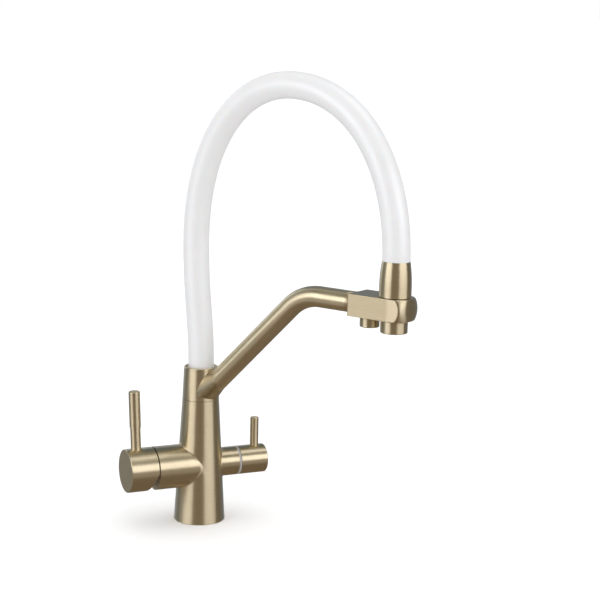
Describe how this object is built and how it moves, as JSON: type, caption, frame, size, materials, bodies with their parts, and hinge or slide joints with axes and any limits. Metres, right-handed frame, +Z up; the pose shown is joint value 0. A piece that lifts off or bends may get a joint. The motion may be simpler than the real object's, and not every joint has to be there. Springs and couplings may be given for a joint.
{
  "type": "three way filtered water tap",
  "caption": "Deck-mounted kitchen tap with a mixer lever, a separate filtered water lever, a silicone hose arch and a swivelling arm with twin outlets.",
  "frame": {"origin": "centre of the column's foot on the worktop, on the fixing stud's axis", "axes": "+Z up along the column; -X along the mixer boss and +X along the filter boss; -Y towards the user"},
  "size_m": [0.2042, 0.2401, 0.4439],
  "materials": {
    "champagne_bronze": "brushed champagne bronze",
    "brass": "machined",
    "steel": "plain stainless",
    "rubber": "black nitrile rubber",
    "ceramic": "lapped alumina ceramic",
    "cartridge_plastic": "moulded grey plastic",
    "white_nylon": "white nylon",
    "white_silicone": "matte white silicone",
    "water_hose": "translucent grey hose"
  },
  "bodies": {
    "tap_body": {"column_body": "champagne_bronze", "base_gasket": "rubber", "cartridge_housing": "cartridge_plastic", "cartridge_base": "cartridge_plastic", "cartridge_seals": "rubber", "fixed_mixer_disc": "ceramic", "cartridge_nut": "brass", "boss_trim_ring": "champagne_bronze", "filter_valve_body": "brass", "filter_seat_seal": "rubber", "fixed_filter_disc": "ceramic", "filter_spindle_seal": "rubber", "filter_gap_ring": "white_nylon", "swivel_spigot": "brass", "swivel_o_rings": "rubber", "swivel_slide_ring": "white_nylon"},
    "cartridge_rotor": {"cartridge_rotor": "cartridge_plastic", "lever_pivot_pin": "steel"},
    "mixer_disc": {"moving_mixer_disc": "ceramic", "disc_carrier": "cartridge_plastic"},
    "mixer_handle": {"cartridge_stem": "steel", "mixer_handle_cap": "champagne_bronze", "mixer_lever_rod": "champagne_bronze", "mixer_lever_grip": "champagne_bronze", "mixer_grub_screw": "steel"},
    "filter_handle": {"filter_spindle": "brass", "moving_filter_disc": "ceramic", "filter_knob": "champagne_bronze", "filter_lever_pin": "champagne_bronze", "filter_grub_screw": "steel"},
    "spout": {"swivel_collar": "champagne_bronze", "collar_stop_screw": "steel", "collar_hose_nipple": "brass", "silicone_hose": "white_silicone", "inner_water_hose": "water_hose", "support_arm": "champagne_bronze", "arm_end_sleeve": "brass", "arm_o_ring": "rubber", "head_block": "champagne_bronze", "head_set_screw": "steel", "ferrule_washer": "rubber", "hose_ferrule": "champagne_bronze", "head_hose_nipple": "brass", "main_outlet_ring": "champagne_bronze", "main_aerator": "cartridge_plastic", "main_aerator_washer": "rubber", "filter_outlet_ring": "champagne_bronze", "filter_aerator": "cartridge_plastic"}
  },
  "joints": [
    {"name": "spout_swivel", "type": "hinge", "parent": "tap_body", "child": "spout", "pos_m": [0, 0, 0.1342], "axis": [0, 0, 1], "continuous": true},
    {"name": "mixer_turn", "type": "hinge", "parent": "tap_body", "child": "cartridge_rotor", "pos_m": [-0.033, 0, 0.0555], "axis": [1, 0, 0], "range_deg": [-45, 45]},
    {"name": "mixer_tilt", "type": "hinge", "parent": "cartridge_rotor", "child": "mixer_handle", "pos_m": [-0.033, 0, 0.0555], "axis": [0, -1, 0], "range_deg": [0, 20]},
    {"name": "mixer_disc_slide", "type": "slide", "parent": "cartridge_rotor", "child": "mixer_disc", "axis": [0, 0, 1], "range_m": [0, 0.0022]},
    {"name": "filter_turn", "type": "hinge", "parent": "tap_body", "child": "filter_handle", "pos_m": [0.0535, 0, 0.0555], "axis": [1, 0, 0], "range_deg": [0, 90]}
  ],
  "couplings": [
    {"joint": "mixer_disc_slide", "follows": "mixer_tilt", "m_per_rad": 0.0058}
  ]
}
